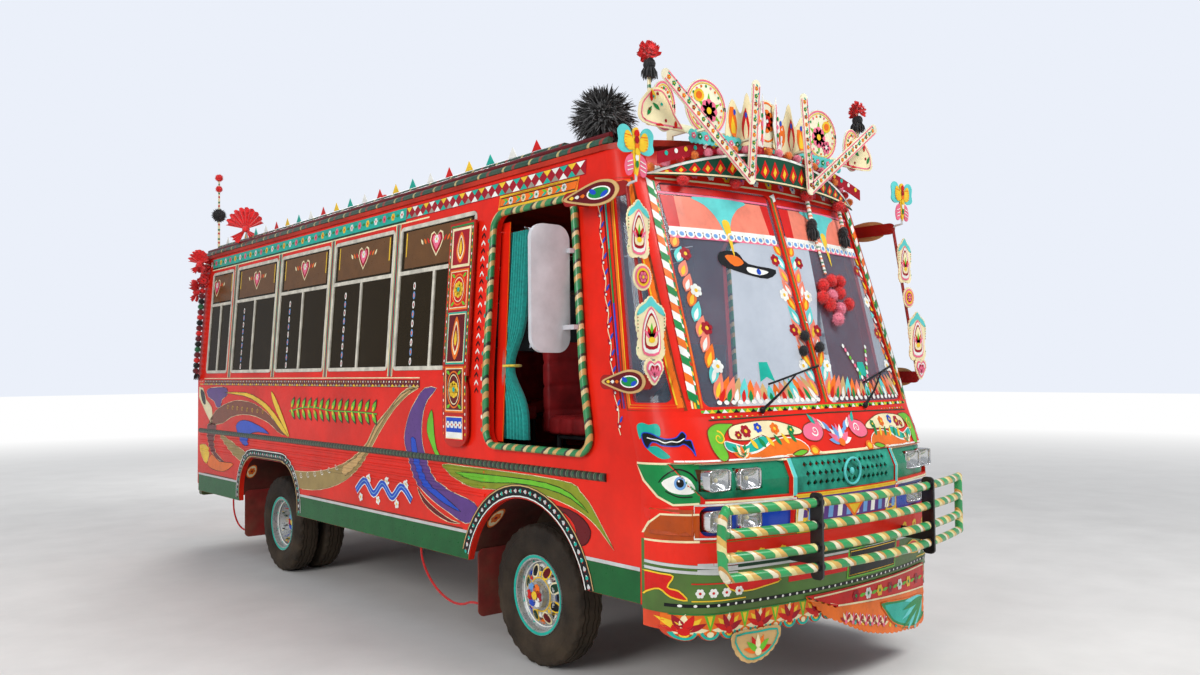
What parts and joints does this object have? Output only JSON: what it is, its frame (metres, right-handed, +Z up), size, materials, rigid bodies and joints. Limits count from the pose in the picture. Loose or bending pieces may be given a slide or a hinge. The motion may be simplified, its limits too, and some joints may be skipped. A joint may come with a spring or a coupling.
{
  "type": "decorated minibus",
  "caption": "Painted passenger minibus on a light-truck chassis with steering, turning wheels, an entry door, a bull bar and a crown of ornament boards.",
  "frame": {"origin": "on the ground under the middle of the vehicle's length and width", "axes": "+Z up, the front faces -Y, the vehicle's left side at +X"},
  "size_m": [2.6164, 7.0998, 3.605],
  "materials": {
    "body_paint": "orange-red gloss paint with painted stripes and ornament",
    "roof_paint": "orange-red roof paint",
    "green_paint": "dark green gloss paint",
    "chassis_paint": "black chassis paint, dusty",
    "bright_metal": "satin aluminium window frames",
    "chrome_trim": "polished trim",
    "glass": "clear automotive glass",
    "lamp_glass": "ribbed lamp glass",
    "amber_lens": "amber and red lenses",
    "lamp_paint": "teal and blue lamp panels",
    "teal_mesh": "teal painted crimped mesh",
    "tube_paint": "green and tan candy-striped paint on tube",
    "board_paint": "painted boards in many colours",
    "rack_paint": "candy-striped rack tube",
    "pompom": "fluffy pompoms on poles",
    "feather": "black feather balls",
    "garland": "maroon and black tassel garland",
    "cord_red": "red cotton cord",
    "mirror_black": "flat mirror with a pale back",
    "flap_rubber": "maroon rubber flaps",
    "liner_paint": "maroon arch liners",
    "rub_trim": "dark green beaded rub rail",
    "deck_wood": "boarded floor on cross bearers",
    "engine_iron": "cast iron, oily",
    "seat_cloth": "red leathercloth seats",
    "dash_plastic": "black dashboard",
    "axle_iron": "black axles and springs",
    "wheel_paint": "wheels painted in many colours",
    "tyre": "black road tyre"
  },
  "bodies": {
    "root": {"side_wall_right": "body_paint", "side_wall_left": "body_paint", "roof_shell": "roof_paint", "rear_wall": "body_paint", "front_mask": "body_paint", "windscreen_surround": "body_paint", "front_bumper": "green_paint", "fringe_panel": "board_paint", "lamp_panels": "lamp_paint", "grille": "teal_mesh", "headlamps": "lamp_glass", "signal_lamps": "amber_lens", "front_glass": "glass", "window_frames": "bright_metal", "side_glass": "glass", "rub_rails": "rub_trim", "bull_bar": "tube_paint", "visor": "green_paint", "crown_boards": "board_paint", "feather_balls": "feather", "roof_poles": "pompom", "roof_rack": "rack_paint", "doorway_tubes": "tube_paint", "side_board": "board_paint", "mirror_arms": "board_paint", "hanging_boards": "board_paint", "door_mirrors": "mirror_black", "floor_deck": "deck_wood", "chassis_frame": "chassis_paint", "rear_bumper": "green_paint", "rear_ladder": "chrome_trim", "corner_garland": "garland", "arch_liners": "liner_paint", "mud_flaps": "flap_rubber", "power_train": "engine_iron", "exhaust": "axle_iron", "fuel_tank": "chassis_paint", "front_axle": "axle_iron", "rear_axle": "axle_iron", "door_hinges": "chrome_trim", "seats": "seat_cloth", "dashboard": "dash_plastic", "cord_front": "cord_red", "cord_rear": "cord_red"},
    "steer_right": {"knuckle_right": "axle_iron"},
    "steer_left": {"knuckle_left": "axle_iron"},
    "wheel_front_right": {"rim_front_right": "wheel_paint", "tyre_front_right": "tyre"},
    "wheel_front_left": {"rim_front_left": "wheel_paint", "tyre_front_left": "tyre"},
    "wheels_rear_right": {"rims_rear_right": "wheel_paint", "tyres_rear_right": "tyre"},
    "wheels_rear_left": {"rims_rear_left": "wheel_paint", "tyres_rear_left": "tyre"},
    "entry_door": {"passenger_door": "body_paint", "door_glass": "glass"}
  },
  "joints": [
    {"name": "steering_right", "type": "hinge", "parent": "root", "child": "steer_right", "pos_m": [-0.79, -1.95, 0.37], "axis": [0, 0, 1], "range_deg": [-32, 32]},
    {"name": "steering_left", "type": "hinge", "parent": "root", "child": "steer_left", "pos_m": [0.79, -1.95, 0.37], "axis": [0, 0, 1], "range_deg": [-32, 32]},
    {"name": "spin_front_right", "type": "hinge", "parent": "steer_right", "child": "wheel_front_right", "pos_m": [-0.89, -1.95, 0.388], "axis": [1, 0, 0], "continuous": true},
    {"name": "spin_rear_right", "type": "hinge", "parent": "root", "child": "wheels_rear_right", "pos_m": [-0.7825, 1.585, 0.388], "axis": [1, 0, 0], "continuous": true},
    {"name": "spin_front_left", "type": "hinge", "parent": "steer_left", "child": "wheel_front_left", "pos_m": [0.89, -1.95, 0.388], "axis": [1, 0, 0], "continuous": true},
    {"name": "spin_rear_left", "type": "hinge", "parent": "root", "child": "wheels_rear_left", "pos_m": [0.7825, 1.585, 0.388], "axis": [1, 0, 0], "continuous": true},
    {"name": "door_swing", "type": "hinge", "parent": "root", "child": "entry_door", "pos_m": [1.0635, -1.326, 1], "axis": [0, 0, -1], "range_deg": [0, 85]}
  ],
  "couplings": [
    {"joint": "steering_right", "follows": "steering_left", "ratio": 1}
  ]
}
